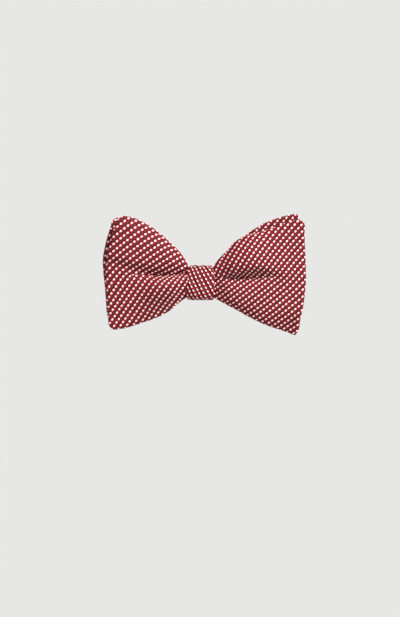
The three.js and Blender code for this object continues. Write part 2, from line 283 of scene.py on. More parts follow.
def weave_material(name, dot_half):
    """The ribbed, dotted cloth. The weave map counts dots along a rib in U and ribs in V."""
    nodes = Nodes(name)
    uv = nodes.weave_map()
    cells = nodes.split(uv)
    shift = nodes.math("MULTIPLY_ADD", nodes.noise(uv, 1.7), 2 * WANDER, -WANDER)
    along = nodes.math("ADD", cells[0], shift)
    across = nodes.math("ADD", cells[1], shift)

    # Places in the cell, from its middle: a and b in cells, offset in millimetres.
    a = nodes.math("SUBTRACT", nodes.math("FRACT", along), 0.5)
    b = nodes.math("SUBTRACT", nodes.math("FRACT", across), 0.5)
    offset = nodes.times(b, RIB_PITCH)
    from_rib = nodes.math("ABSOLUTE", offset)

    # The dot is where its oval's reach is below 1, with a frayed edge.
    da = nodes.times(a, DOT_PITCH / dot_half[0])
    db = nodes.times(b, RIB_PITCH / dot_half[1])
    reach = nodes.math("SQRT", nodes.math("MULTIPLY_ADD", da, da, nodes.times(db, db)))
    fray = nodes.noise(uv, 7.0, 3.0)
    reach = nodes.math("MULTIPLY_ADD", fray, FRAY, nodes.math("ADD", reach, -FRAY / 2))
    dot = nodes.step(reach, 1.12, 0.88)

    # The cell's bands, each from 0 to 1.
    rib = nodes.step(from_rib, RIB_EDGE + 0.10, RIB_EDGE - 0.12)
    # The dark line on the rib's upper side: partly the weave's own dark edge, partly painted
    # shadow of the rib.
    line_and_shadow = nodes.step(offset, LINE_EDGE - 0.08, LINE_EDGE + 0.14)
    above = nodes.math("GREATER_THAN", offset, 0.0)
    below = nodes.step(offset, -SHADE_EDGE - 0.14, -SHADE_EDGE + 0.14)

    # Yarns: weft threads cross each rib, and the plain rib shows a steep twill.
    weft = nodes.wave(along, WEFTS)
    slant = nodes.math("MULTIPLY_ADD", across, TWILLS, nodes.times(along, TWILLS))
    twill = nodes.wave(slant, 1)
    fuzz = nodes.noise(uv, 14.0, 3.0)
    yarn = nodes.math("MULTIPLY_ADD", weft, 0.18, fuzz)
    strands = nodes.math("MULTIPLY_ADD", nodes.wave(across, STRANDS), 0.14, yarn)

    red = nodes.mix(nodes.step(yarn, 0.25, 0.75), CRIMSON_DEEP, CRIMSON)
    beside_dot = nodes.step(nodes.math("ABSOLUTE", a), 0.32, 0.12)
    plain = nodes.mix(beside_dot, MAROON, BROWN)
    plain = nodes.mix(nodes.step(twill, -1.6, 0.4), LINE_AND_SHADOW_DARK, plain)
    # The upper side gets the dark line: painted shadow of the rib mixed with the weave's own dark
    # edge.
    upper = nodes.mix(line_and_shadow, LINE_AND_SHADOW_DARK, plain)
    lower = nodes.mix(below, plain, CRIMSON_SHADED)
    ground = nodes.mix(above, lower, upper)
    colour = nodes.mix(rib, ground, red)
    white = nodes.mix(nodes.step(strands, 0.2, 0.6), WHITE_SHADED, WHITE)
    colour = nodes.mix(dot, colour, white)
    cast = nodes.noise(nodes.object_place(), 55.0)
    shade = nodes.mix(cast, CAST_DARK, CAST_LIGHT)
    nodes.colour(nodes.mix(1.0, colour, shade, blend="MULTIPLY"))

    # The relief: the rib stands highest, the plain rib lower, and the dot on top of its rib.
    rib_height = nodes.step(from_rib, LINE_EDGE, 0.1)
    plain_height = nodes.times(nodes.step(from_rib, LINE_EDGE, RIB_PITCH / 2), 0.55)
    height = nodes.math("MAXIMUM", rib_height, plain_height)
    height = nodes.math("MULTIPLY_ADD", dot, 0.35, height)
    height = nodes.math("MULTIPLY_ADD", strands, 0.12, height)
    height = nodes.math("MULTIPLY_ADD", fuzz, 0.25, height)
    nodes.bump(height, CLOTH_BUMP, 0.9)
    nodes.roughness(nodes.step(fuzz, 0.2, 0.8, 0.55, 0.78))
    nodes.constants(Sheen_Weight=0.03, Sheen_Roughness=0.4, Specular_IOR_Level=0.08)
    nodes.constants(Sheen_Tint=(0.9, 0.3, 0.3, 1))
    return nodes.material


THREAD_DARK = (0.10, 0.006, 0.012, 1)
THREAD_LIGHT = (0.30, 0.02, 0.04, 1)
PLY_LENGTH = 0.0004


def thread_material(name):
    """Twisted sewing thread: its ply shows as slanted lines round the strand."""
    nodes = Nodes(name)
    place = nodes.object_place()
    x, y, z = nodes.split(place)
    total = nodes.math("ADD", nodes.math("ADD", x, y), z)
    fuzz = nodes.noise(place, 3000.0, 3.0)
    tone = nodes.math("MULTIPLY_ADD", nodes.wave(total, 1 / PLY_LENGTH), 0.3, fuzz)
    nodes.colour(nodes.mix(nodes.step(tone, 0.1, 0.9), THREAD_DARK, THREAD_LIGHT))
    nodes.bump(tone, 0.00006, 0.8)
    nodes.roughness(nodes.step(fuzz, 0, 1, 0.45, 0.65))
    nodes.constants(Sheen_Weight=0.2)
    return nodes.material


NICKEL_DARK = (0.40, 0.395, 0.385, 1)
NICKEL_LIGHT = (0.52, 0.51, 0.495, 1)
NICKEL_EDGE = (0.66, 0.65, 0.63, 1)
BRUSHING_STRETCH = (1.0, 1.0, 14.0)


def metal_material():
    """Nickel plate with fine brushing, cloudy patches and brighter worn edges."""
    nodes = Nodes("nickel_plate")
    place = nodes.object_place()
    stretch = nodes.add("Mapping")
    nodes.set(stretch.inputs["Vector"], place)
    stretch.inputs["Scale"].default_value = BRUSHING_STRETCH
    brushing = nodes.noise(stretch.outputs[0], 1400.0, 4.0)
    clouds = nodes.noise(place, 260.0, 3.0)
    edge = nodes.step(nodes.add("NewGeometry").outputs["Pointiness"], 0.52, 0.62)
    colour = nodes.mix(clouds, NICKEL_DARK, NICKEL_LIGHT)
    nodes.colour(nodes.mix(nodes.times(edge, 0.5), colour, NICKEL_EDGE))
    rough = nodes.step(brushing, 0.2, 0.8, 0.20, 0.30)
    nodes.roughness(nodes.math("MULTIPLY_ADD", clouds, 0.08, rough))
    nodes.bump(brushing, 0.00001, 0.2)
    nodes.constants(Metallic=1.0)
    return nodes.material


SATIN_DARK = (0.010, 0.009, 0.010, 1)
SATIN_LIGHT = (0.045, 0.040, 0.043, 1)
FRAME_COLOUR = (0.34, 0.30, 0.28, 1)
STITCH_COLOUR = (0.20, 0.012, 0.024, 1)
WARP_PITCH = 0.22
WEFT_PITCH = 0.30
STITCH_PITCH = 1.5


def label_material(half_length, half_height):
    """Dark woven satin with a fine cross weave, a pale woven frame and a row of stitches near
    its edge. The weave map counts millimetres from the label's centre."""
    nodes = Nodes("label_satin")
    uv = nodes.weave_map()
    u, v = nodes.split(uv)[:2]
    cross = nodes.times(nodes.wave(u, 1 / WARP_PITCH), nodes.wave(v, 1 / WEFT_PITCH))
    fuzz = nodes.noise(uv, 3.0, 3.0)
    tone = nodes.math("MULTIPLY_ADD", cross, 0.35, fuzz)
    satin = nodes.mix(nodes.step(tone, 0.0, 1.0), SATIN_DARK, SATIN_LIGHT)

    # How far past the label's edge a place is, so it is below 0 all over the label.
    past_end = nodes.math("SUBTRACT", nodes.math("ABSOLUTE", u), half_length)
    past_side = nodes.math("SUBTRACT", nodes.math("ABSOLUTE", v), half_height)
    past = nodes.math("MAXIMUM", past_end, past_side)
    line = nodes.times(nodes.step(past, -2.0, -1.85), nodes.step(past, -1.4, -1.55))
    colour = nodes.mix(nodes.times(line, 0.8), satin, FRAME_COLOUR)
    dashes = nodes.wave(nodes.math("ADD", u, v), 1 / STITCH_PITCH)
    sewn = nodes.times(nodes.step(past, -0.95, -0.85), nodes.step(past, -0.5, -0.6))
    sewn = nodes.times(sewn, nodes.step(dashes, -0.5, -0.2))
    nodes.colour(nodes.mix(sewn, colour, STITCH_COLOUR))
    raised = nodes.math("MAXIMUM", line, nodes.times(sewn, 2.0))
    nodes.bump(nodes.math("MULTIPLY_ADD", cross, 0.5, raised), 0.0001, 0.7)
    nodes.roughness(nodes.step(fuzz, 0, 1, 0.35, 0.55))
    nodes.constants(Sheen_Weight=0.2)
    return nodes.material


# ---- mesh helpers

WELD_DISTANCE = 0.02


def make_mesh(name, points, faces, loop_uv):
    """An object from points in millimetres; loop_uv has one pair for each face corner."""
    mesh = bpy.data.meshes.new(name)
    mesh.from_pydata((np.asarray(points) * MM).tolist(), [], faces)
    layer = mesh.uv_layers.new(name="weave")
    layer.data.foreach_set("uv", np.asarray(loop_uv, np.float32).ravel())
    mesh.polygons.foreach_set("use_smooth", [True] * len(mesh.polygons))
    mesh.update()
    return add_object(name, mesh)


def weld(obj):
    """Joins the layers where they meet at the rim, and closes any end that is left open."""
    shell = bmesh.new()
    shell.from_mesh(obj.data)
    rim = [v for v in shell.verts if v.is_boundary]
    bmesh.ops.remove_doubles(shell, verts=rim, dist=WELD_DISTANCE * MM)
    open_edges = [e for e in shell.edges if e.is_boundary]
    if open_edges:
        bmesh.ops.holes_fill(shell, edges=open_edges, sides=0)
    bmesh.ops.recalc_face_normals(shell, faces=shell.faces)
    shell.to_mesh(obj.data)
    shell.free()


def make_disc(name, radius, height):
    mesh = bpy.data.meshes.new(name)
    disc = bmesh.new()
    bmesh.ops.create_circle(disc, cap_ends=True, segments=96, radius=radius)
    bmesh.ops.translate(disc, verts=disc.verts, vec=(0, 0, height))
    disc.to_mesh(mesh)
    disc.free()
    return add_object(name, mesh)


def smoothstep(low, high, value):
    t = np.clip((value - low) / (high - low), 0, 1)
    return t * t * (3 - 2 * t)


def lengths(path):
    """The length of each piece of a path between two of its points."""
    return np.linalg.norm(np.diff(path, axis=0), axis=1)


def spline(points):
    """A smooth curve through points, as a function from 0..1 by chord length."""
    points = np.array(points, float)
    chord = lengths(points)
    knots = np.concatenate([[0], np.cumsum(chord)]) / chord.sum()
    slope = np.gradient(points, knots, axis=0)

    def at(t):
        t = np.clip(np.asarray(t, float), 0, 1)
        i = np.clip(np.searchsorted(knots, t, side="right") - 1, 0, len(knots) - 2)
        width = knots[i + 1] - knots[i]
        u = (t - knots[i]) / width
        u, width = u[..., None], width[..., None]
        h00 = 2 * u**3 - 3 * u**2 + 1
        h10 = u**3 - 2 * u**2 + u
        h01 = -2 * u**3 + 3 * u**2
        h11 = u**3 - u**2
        start = h00 * points[i] + h10 * width * slope[i]
        return start + h01 * points[i + 1] + h11 * width * slope[i + 1]

    return at


def grid_faces(rows, columns, start=0, flip=False, wrap=False, close=False):
    """Quads over a grid of rows by columns. wrap joins the last column to the first, and close
    the last row to the first."""
    steps = np.arange(rows if close else rows - 1), np.arange(columns if wrap else columns - 1)
    i, j = np.meshgrid(*steps, indexing="ij")
    a, b = (i + 1) % rows, (j + 1) % columns
    quads = np.stack([i * columns + j, a * columns + j, a * columns + b, i * columns + b], -1)
    quads = quads.reshape(-1, 4) + start
    return quads[:, ::-1] if flip else quads


def grid_normals(points):
    """Unit normals of a grid of points, rows first, on the side that rows x columns faces."""
    along = np.gradient(points, axis=0)
    across = np.gradient(points, axis=1)
    normal = np.cross(along, across)
    return normal / np.maximum(np.linalg.norm(normal, axis=-1, keepdims=True), 1e-9)


def turned_weave(x, z, angle, turn=(0.0, 0.0), centre=(0.0, 0.0), scale=(1.0, 1.0)):
    """Weave cells at flat cloth coordinates in millimetres. Ribs run at angle, in degrees, at the
    centre, and turn by turn degrees for each millimetre of x and of z. The complex map keeps the
    cells square while they turn."""
    w = (x - centre[0]) + 1j * (z - centre[1])
    rate = -math.radians(turn[1]) - 1j * math.radians(turn[0])
    stretched = w if abs(rate) < 1e-9 else (np.exp(rate * w) - 1) / rate
    cells = np.exp(-1j * math.radians(angle)) * stretched
    return cells.real / (DOT_PITCH * scale[0]), cells.imag / (RIB_PITCH * scale[1])


RIB_RELIEF = 0.25


def rib_relief(across):
    """How high the cloth stands at a place across the ribs, in millimetres."""
    return RIB_RELIEF * np.cos(2 * math.pi * (across - 0.5))


# ---- the bows

# Outlines in millimetres from the knot's centre, X taken away from the knot: the top and bottom
# edges from the waist outwards, and the end from the bottom corner to the top corner.
OUTLINES = {
    "front_left": {
        "top": [
            (2.5, 4.8), (5.4, 6.4), (6.8, 9.4), (10.1, 14.9), (16.5, 21.5), (24.2, 28.1),
            (31.5, 32.6), (36.5, 34.7), (41.0, 35.5)],
        "bottom": [
            (2.5, -4.8), (6.2, -6.6), (8.2, -8.2), (11.4, -10.5), (16.5, -14.8), (24.2, -18.9),
            (32, -21.6), (40.2, -24.2), (46.4, -25.1)],
        "end": [
            (46.4, -25.1), (48.1, -23.9), (49.3, -16), (50.1, -4), (50.6, 8), (49, 18.3),
            (46.2, 28.5), (44.4, 33.3), (41.0, 35.5)],
    },
    "front_right": {
        "top": [
            (2.5, 4.8), (5.6, 6.2), (7.1, 9.0), (10, 13.2), (13.1, 16.2), (19.1, 22.4),
            (23.6, 24.9), (29, 26.2), (39, 29.2), (45.4, 31.8), (51.2, 33.6)],
        "bottom": [
            (2.5, -4.8), (6, -6.8), (7.8, -8.5), (10.9, -10.3), (17.7, -13.9), (26.4, -18.7),
            (34.1, -22.4), (43.3, -25.5), (50.3, -28.1)],
        "end": [
            (50.3, -28.1), (51.8, -25.6), (52.9, -19.6), (54.7, -10), (55.7, 0), (55.7, 8),
            (55.3, 17), (55, 25), (54.3, 32.2), (51.2, 33.6)],
    },
    "back_left": {
        "top": [
            (2.5, 5), (7.6, 7.6), (11, 13.6), (18, 20.6), (27, 27.6), (35, 32), (41, 34),
            (45, 34.9)],
        "bottom": [
            (2.5, -5), (7.6, -7), (12, -10), (20, -14.8), (30, -19.4), (40, -22.6), (46.8, -24.2)],
        "end": [
            (46.8, -24.2), (49.6, -19), (50.9, -8), (51.6, 0), (52.4, 8), (52.4, 13), (51.2, 20),
            (48.6, 29), (46.8, 33.6), (45, 34.9)],
    },
    "back_right": {
        "top": [
            (2.5, 5), (7.4, 7.6), (12, 14.2), (19, 21.6), (26.4, 27.3), (32.8, 31.2),
            (40.5, 34.4), (47, 36.2), (51.3, 37.0)],
        "bottom": [
            (2.5, -5), (7.4, -6.8), (12, -9.4), (20, -13.8), (30, -18.8), (40, -22.8),
            (47.5, -25.2)],
        "end": [
            (47.5, -25.2), (51.4, -14), (53.2, 0), (53.8, 14), (53.6, 26), (52.8, 33.6),
            (51.3, 37.0)],
    },
}

# The rim's rounding radius, and the grid's steps: round the rim, along a wing and up a lobe.
RIM = 1.1
RIM_STEPS = 6
SPAN_STEPS = 116
LOBE_STEPS = 66

# y is the middle layer's place at the waist and sweep its move towards the tips. puff is how
# far the front and the back stand out from it. pleat is the line of the pleat that runs out of
# the knot (away from the knot, height), and fade where it dies out. step is a soft fold above
# it, with how far the cloth over it stands forward: (away, height, forward). lower_crown and
# upper_crown shape the lobes near the knot, shallow fills the pleat there, and tip_curl sends
# the lower tip backwards. scale is the size of the weave along and across its ribs. Each
# lobe's weave (upper and lower) has a rib angle, its turn for each millimetre of x and z
# counted from the pleat's end, and a size. BACK is what both back wings share.
BACK = dict(
    y=-5.9, sweep=1.0, puff=(1.6, 1.6), fade=(14, 30),
    pleat=[(0, 3.0), (60, 3.0)], step=[(0, 6, 0.0), (60, 6, 0.0)],
    lower_crown=(1.3, 0.7, 1.0), upper_crown=(1.0, 0.8), tip_curl=0.0, shallow=0.0)
WINGS = {
    "front_left": dict(
        side=-1, y=-9.4, sweep=-2.4, puff=(5.0, 1.4), fade=(22, 43), scale=(1.0, 1.04),
        pleat=[
            (0, 6.2), (7.4, 5.7), (10, 4.8), (17, 3.8), (23, 3.5), (28, 3.8), (40, 3.2), (60, 3)],
        step=[
            (14, 5.0, 0.0), (22, 6.2, 1.3), (30, 7.6, 2.1), (38, 9.6, 2.1), (47, 12.0, 1.5),
            (60, 14, 1.0)],
        lower_crown=(1.8, 0.72, 1.8), upper_crown=(1.15, 0.55), tip_curl=0.0, shallow=0.0,
        upper=(38, (-0.22, 0.0), 1.0), lower=(55, (0.0, 0.0), 1.0)),
    "front_right": dict(
        side=1, y=-9.4, sweep=-4.0, puff=(5.0, 1.4), fade=(26, 44), scale=(0.99, 0.95),
        pleat=[
            (0, 2.6), (7.8, 2.5), (12, 2.3), (17.5, 2.1), (21, 2.4), (28, 1.9), (35, 2.3),
            (60, 2.3)],
        step=[
            (12, 3.4, 0.0), (18, 4.0, 2.4), (25, 5.2, 3.2), (31, 6.4, 3.0), (38, 5.0, 1.7),
            (47, 2.4, 0.6), (60, 1, 0)],
        lower_crown=(1.0, 0.45, 0.85), upper_crown=(0.8, 1.0), tip_curl=4.5, shallow=0.7,
        upper=(52, (-0.28, -0.1), 0.94), lower=(39.5, (0.08, 0.08), 1.0)),
    "back_left": dict(
        BACK, side=-1, scale=(1.0, 1.03),
        upper=(29, (0.0, 0.0), 1.0), lower=(36, (0.0, 0.0), 1.0)),
    "back_right": dict(
        BACK, side=1, scale=(0.99, 0.96),
        upper=(49, (0.0, 0.0), 1.0), lower=(44, (0.0, 0.0), 1.0)),
}


# The crease's and the rim's limits, as shares of the wing's height.
CREASE_RANGE = (0.25, 0.75)
WIDEST_RIM = 0.15


def wing_grid(name):
    """The wing's flat shape on a grid of spans by heights, with the factors that round its rim.
    The pleat follows one line of the grid."""
    wing = WINGS[name]
    outline = {edge: spline(points) for edge, points in OUTLINES[name].items()}
    waist, bottom_corner = outline["bottom"](np.array([0.0, 1.0]))
    top_corner = outline["top"](np.array([1.0]))[0]
    reach = 0.5 * (bottom_corner[0] + top_corner[0]) - waist[0]
    turn = np.linspace(0, math.pi / 2, RIM_STEPS + 1)
    span_rim = 1 - (RIM / reach) * (1 - np.cos(turn))
    span = np.concatenate([np.linspace(0, span_rim[-1], SPAN_STEPS), span_rim[::-1][1:]])
    span_factor = np.concatenate([np.ones(SPAN_STEPS), np.sin(turn[::-1][1:])])
    low, high = outline["bottom"](span), outline["top"](span)

    pleat = np.array(wing["pleat"], float)
    line = np.interp(0.5 * (low[:, 0] + high[:, 0]), pleat[:, 0], pleat[:, 1])
    crease = (line - low[:, 1]) / (high[:, 1] - low[:, 1])
    crease = np.clip(crease, *CREASE_RANGE)[:, None]
    rim = np.minimum(RIM / np.linalg.norm(high - low, axis=1), WIDEST_RIM)[:, None]
    rise = rim * (1 - np.cos(turn))[None, :-1]
    steps = np.linspace(0, 1, LOBE_STEPS)[None]
    below = rim + (crease - rim) * steps
    above = crease + (1 - rim - crease) * steps[:, 1:]
    height = np.concatenate([rise, below, above, 1 - rise[:, ::-1]], axis=1)
    rounded = np.sin(turn[:-1])
    factor = np.concatenate([rounded, np.ones(2 * LOBE_STEPS - 1), rounded[::-1]])
    rim_factor = span_factor[:, None] * factor[None, :]

    end = outline["end"](height)
    straight = bottom_corner + (top_corner - bottom_corner) * height[..., None]
    plane = low[:, None] + (high - low)[:, None] * height[..., None]
    plane = plane + (end - straight) * (span**3)[:, None, None]
    return span[:, None] + 0 * height, height, crease, rim_factor, plane


# Lines of the grid: the pleat, the crowns that each lobe's cloth is laid out from, and the
# span that it is laid out from.
PLEAT_ROW = RIM_STEPS + LOBE_STEPS - 1
LOWER_CROWN_ROW = RIM_STEPS + int(0.6 * LOBE_STEPS)
UPPER_CROWN_ROW = PLEAT_ROW + int(0.5 * LOBE_STEPS)
LAID_FLAT_FROM = int(0.75 * SPAN_STEPS)

# Every wing's crowns change to these shapes between two distances from the knot. A shape is
# the power that moves a crown up or down, its fullness and, for the lower one, its size.
CROWNS_CHANGE = (20, 36)
LOWER_CROWN_OUT = (1.3, 0.55, 1.0)
UPPER_CROWN_OUT = (0.95, 0.8)
SHALLOW_FADE = (9, 19)
ONE_LOBE_FULLNESS = 0.5


def lobe_profile(wing, height, crease, x):
    """0 at the edges and in the pleat, 1 on the crowns of the upper and lower lobes."""
    below = np.clip(height / crease, 0, 1)
    above = np.clip((height - crease) / (1 - crease), 0, 1)
    out = smoothstep(*CROWNS_CHANGE, x)
    pairs = zip(wing["lower_crown"], LOWER_CROWN_OUT)
    power, fullness, size = (near + (far - near) * out for near, far in pairs)
    lower = size * np.sin(math.pi * below**power) ** fullness
    pairs = zip(wing["upper_crown"], UPPER_CROWN_OUT)
    power, fullness = (near + (far - near) * out for near, far in pairs)
    upper = np.sin(math.pi * above**power) ** fullness
    two = np.where(height <= crease, lower, upper)
    one = np.sin(math.pi * np.clip(height, 0, 1)) ** ONE_LOBE_FULLNESS
    filled = wing["shallow"] * (1 - smoothstep(*SHALLOW_FADE, x))
    two = two * (1 - filled) + one * filled
    merge = smoothstep(*wing["fade"], x)
    return two * (1 - merge) + one * merge


FOLD_SOFTNESS = 2.6


def fold_step(wing, x, z, height, crease):
    """How far the cloth above the soft fold stands forward."""
    away, place, forward = np.array(wing["step"], float).T
    over = smoothstep(-FOLD_SOFTNESS, FOLD_SOFTNESS, z - np.interp(x, away, place))
    above = np.clip((height - crease) / (1 - crease), 0, 1)
    return np.interp(x, away, forward) * over * np.sqrt(1 - above**2)


# A wing is flat at the waist, swells to a share of its puff and then to all of it, and loses
# a share towards its end, between these distances from the knot. Its layers close over the
# last part of its span. The lower tip's curl grows between these heights and distances.
SWELL_BEGINS = (2, 7)
SWELL_GROWS = (6, 16)
SWELL_SHRINKS = (22, 54)
FIRST_SWELL = 0.35
END_LOSS = 0.62
CLOSING_FROM, CLOSING_OVER = 0.8, 0.2
CURL_BELOW = (-14, -29)
CURL_BEYOND = (26, 50)
# The small gathers beside the knot: their height, their number and how they fade.
GATHER_HEIGHT = 0.3
GATHERS = 6.5
GATHER_FROM = 7
GATHER_FADE = 8


def wing_depth(wing, span, height, crease, rim_factor, x, z):
    """The middle layer's Y and half the wing's thickness, over the grid."""
    swell = FIRST_SWELL + (1 - FIRST_SWELL) * smoothstep(*SWELL_GROWS, x)
    swell = swell * smoothstep(*SWELL_BEGINS, x)
    swell = swell * (1 - END_LOSS * smoothstep(*SWELL_SHRINKS, x))
    bulge = swell * lobe_profile(wing, height, crease, x)
    fading = np.exp(-np.clip(x - GATHER_FROM, 0, None) / GATHER_FADE)
    gather = GATHER_HEIGHT * fading * np.sin(2 * math.pi * GATHERS * height)
    puff_front, puff_back = wing["puff"]
    centre = wing["y"] + wing["sweep"] * span
    centre = centre - (puff_front - puff_back) / 2 * bulge + gather * rim_factor
    centre = centre - fold_step(wing, x, z, height, crease) * rim_factor
    curl = wing["tip_curl"] * smoothstep(*CURL_BELOW, z) * smoothstep(*CURL_BEYOND, x)
    centre = centre + curl
    closing = np.sqrt(1 - np.clip((span - CLOSING_FROM) / CLOSING_OVER, 0, 1) ** 2)
    half = rim_factor * RIM + (puff_front + puff_back) / 2 * bulge * closing
    return centre, half


def lobe_cells(wing, x, y, z):
    """Weave cells for the lower and the upper lobe, which agree at the pleat's end. Each lobe's
    cloth is laid out flat from the line of its crown."""
    along = np.hypot(np.gradient(x, axis=0), np.gradient(y, axis=0))
    up = np.hypot(np.gradient(z, axis=1), np.gradient(y, axis=1))
    taken_up = np.cumsum(along, axis=0) - x
    taken_up = (taken_up - taken_up[LAID_FLAT_FROM]).mean(axis=1, keepdims=True)
    flat_x = wing["side"] * (x + taken_up)
    run = np.cumsum(up, axis=1)
    end = np.interp(wing["fade"][1], *np.array(wing["pleat"], float).T)
    centre = (wing["side"] * wing["fade"][1], end)
    cells = []
    for lobe, row in (("lower", LOWER_CROWN_ROW), ("upper", UPPER_CROWN_ROW)):
        angle, turn, size = wing[lobe]
        flat_z = run - run[:, row:row + 1] + z[:, row:row + 1]
        scale = tuple(size * c for c in wing["scale"])
        cells.append(np.stack(turned_weave(flat_x, flat_z, angle, turn, centre, scale), -1))
    return cells


# The two lobes' weaves meet sharply in the pleat until this far before its end.
SHARP_UNTIL = 6
# The ribs' relief dies out over this many grid lines beside the pleat.
PLEAT_LINES = 4


def make_wing(name):
    """A closed shell of a front and a back layer, with the weave's ribs as relief."""
    wing = WINGS[name]
    side = wing["side"]
    span, height, crease, rim_factor, plane = wing_grid(name)
    x, z = plane[..., 0], plane[..., 1]
    rows, columns = x.shape
    centre, half = wing_depth(wing, span, height, crease, rim_factor, x, z)

    from_pleat = np.abs(np.arange(columns) - PLEAT_ROW)
    at_pleat = np.clip(1 - from_pleat / PLEAT_LINES, 0, 1)[None]
    at_pleat = at_pleat * (1 - smoothstep(*wing["fade"], x))
    sharp_end = wing["fade"][1] - SHARP_UNTIL
    softness = 0.6 + 1.0 * np.clip(x - sharp_end, 0, None)
    blend = smoothstep(-1, 1, (z - z[:, PLEAT_ROW:PLEAT_ROW + 1]) / softness)

    faces, uvs, layers = [], [], []
    count = 0
    for y, facing in ((centre - half, 1), (centre + half, -1)):
        lower, upper = lobe_cells(wing, x, y, z)
        cells = lower * (1 - blend[..., None]) + upper * blend[..., None]
        points = np.stack([side * x, y, z], -1)
        normal = grid_normals(points) * (side * facing)
        relief = rib_relief(cells[..., 1]) * np.minimum(1, rim_factor * 3) * (1 - at_pleat)
        points = points + normal * relief[..., None]
        quads = grid_faces(rows, columns, count, flip=side * facing > 0)
        corner = quads - count
        above = ((corner % columns).min(axis=1) >= PLEAT_ROW)[:, None]
        sharp = (x.ravel()[corner].max(axis=1) < sharp_end)[:, None]
        choice = np.where(sharp, above, blend.ravel()[corner])[..., None]
        uv = lower.reshape(-1, 2)[corner] * (1 - choice) + upper.reshape(-1, 2)[corner] * choice
        layers.append(points.reshape(-1, 3))
        faces.append(quads)
        uvs.append(uv.reshape(-1, 2))
        count += rows * columns
    faces = np.concatenate(faces).tolist()
    obj = make_mesh(name, np.concatenate(layers), faces, np.concatenate(uvs))
    weld(obj)
    return obj


def add_bows(weave):
    for name in WINGS:
        wing = make_wing(name)
        wing.data.materials.append(weave)
        bow = name.split("_")[0]
        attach(wing, "bow")
        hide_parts(f"{bow}_bow_face", f"{bow}_bow_interlining", f"{bow}_bow_backing")


# ---- knot

KNOT_ROUND = 220
KNOT_FLAT = 40
# The directions that the ribs and the rows of dots take, and how the ribs curve.
KNOT_RIB = math.radians(117)
KNOT_ROW = math.radians(103)
KNOT_TURN = 0.02
KNOT_DOT_PITCH = 2.22
KNOT_RIB_PITCH = 2.22
# The wrap's path is a superellipse of this power, its edges roll over KNOT_ROLL, and
# KNOT_WALL is half its thickness.
KNOT_POWER = 3.2
KNOT_ROLL = 1.5
KNOT_WALL = 0.95
# How much narrower the wrap is at its top and its bottom, as a share of its width.
KNOT_PINCH_TOP = 0.15
KNOT_PINCH_BOTTOM = 0.04


def knot_cells(x, s):
    """Weave cells of the wrap at x across it and s up its front. The ribs lean, and they lean
    further towards the right where they cross the front."""
    along = x * math.cos(KNOT_ROW) + s * math.sin(KNOT_ROW)
    across = -x * math.sin(KNOT_RIB) + s * math.cos(KNOT_RIB)
    across = across + 0.5 * KNOT_TURN * x * x * np.exp(-(s / 10) ** 2)
    return along / KNOT_DOT_PITCH, across / KNOT_RIB_PITCH


def knot_ring(half_y, half_z, centre_y):
    """The wrap's path round X in the YZ plane, with its outward normals and running length from
    the middle of the front, upwards."""
    turn = np.linspace(0, 2 * math.pi, 4000, endpoint=False)
    power = 2 / KNOT_POWER
    ring_z = half_z * np.sign(np.sin(turn)) * np.abs(np.sin(turn)) ** power
    ring_y = -half_y * np.sign(np.cos(turn)) * np.abs(np.cos(turn)) ** power
    closed = np.stack([ring_y, ring_z], -1)
    closed = np.concatenate([closed, closed[:1]])
    run = np.concatenate([[0], np.cumsum(lengths(closed))])
    at = np.linspace(0, run[-1], KNOT_ROUND, endpoint=False)
    ring = np.stack([np.interp(at, run, closed[:, i]) for i in (0, 1)], -1)
    tangent = np.roll(ring, -1, axis=0) - np.roll(ring, 1, axis=0)
    tangent /= np.linalg.norm(tangent, axis=1, keepdims=True)
    outward = np.stack([-tangent[:, 1], tangent[:, 0]], -1)
    ring[:, 0] += centre_y
    return ring, outward, at, run[-1]


def knot_section(width):
    """The wrap's section: places across it, and depths below its outer face."""
    edge = width / 2 - KNOT_ROLL
    flat = np.linspace(-width / 2 + KNOT_ROLL, edge, KNOT_FLAT)
    bend = np.linspace(0, math.pi, 12)[1:-1]
    edge_x = edge + KNOT_ROLL * np.sin(bend)
    edge_r = -KNOT_WALL + KNOT_WALL * np.cos(bend)
    return np.concatenate([
        np.stack([flat, 0 * flat], -1),
        np.stack([edge_x, edge_r], -1),
        np.stack([flat[::-1], 0 * flat - 2 * KNOT_WALL], -1),
        np.stack([-edge_x[::-1], edge_r[::-1]], -1),
    ])


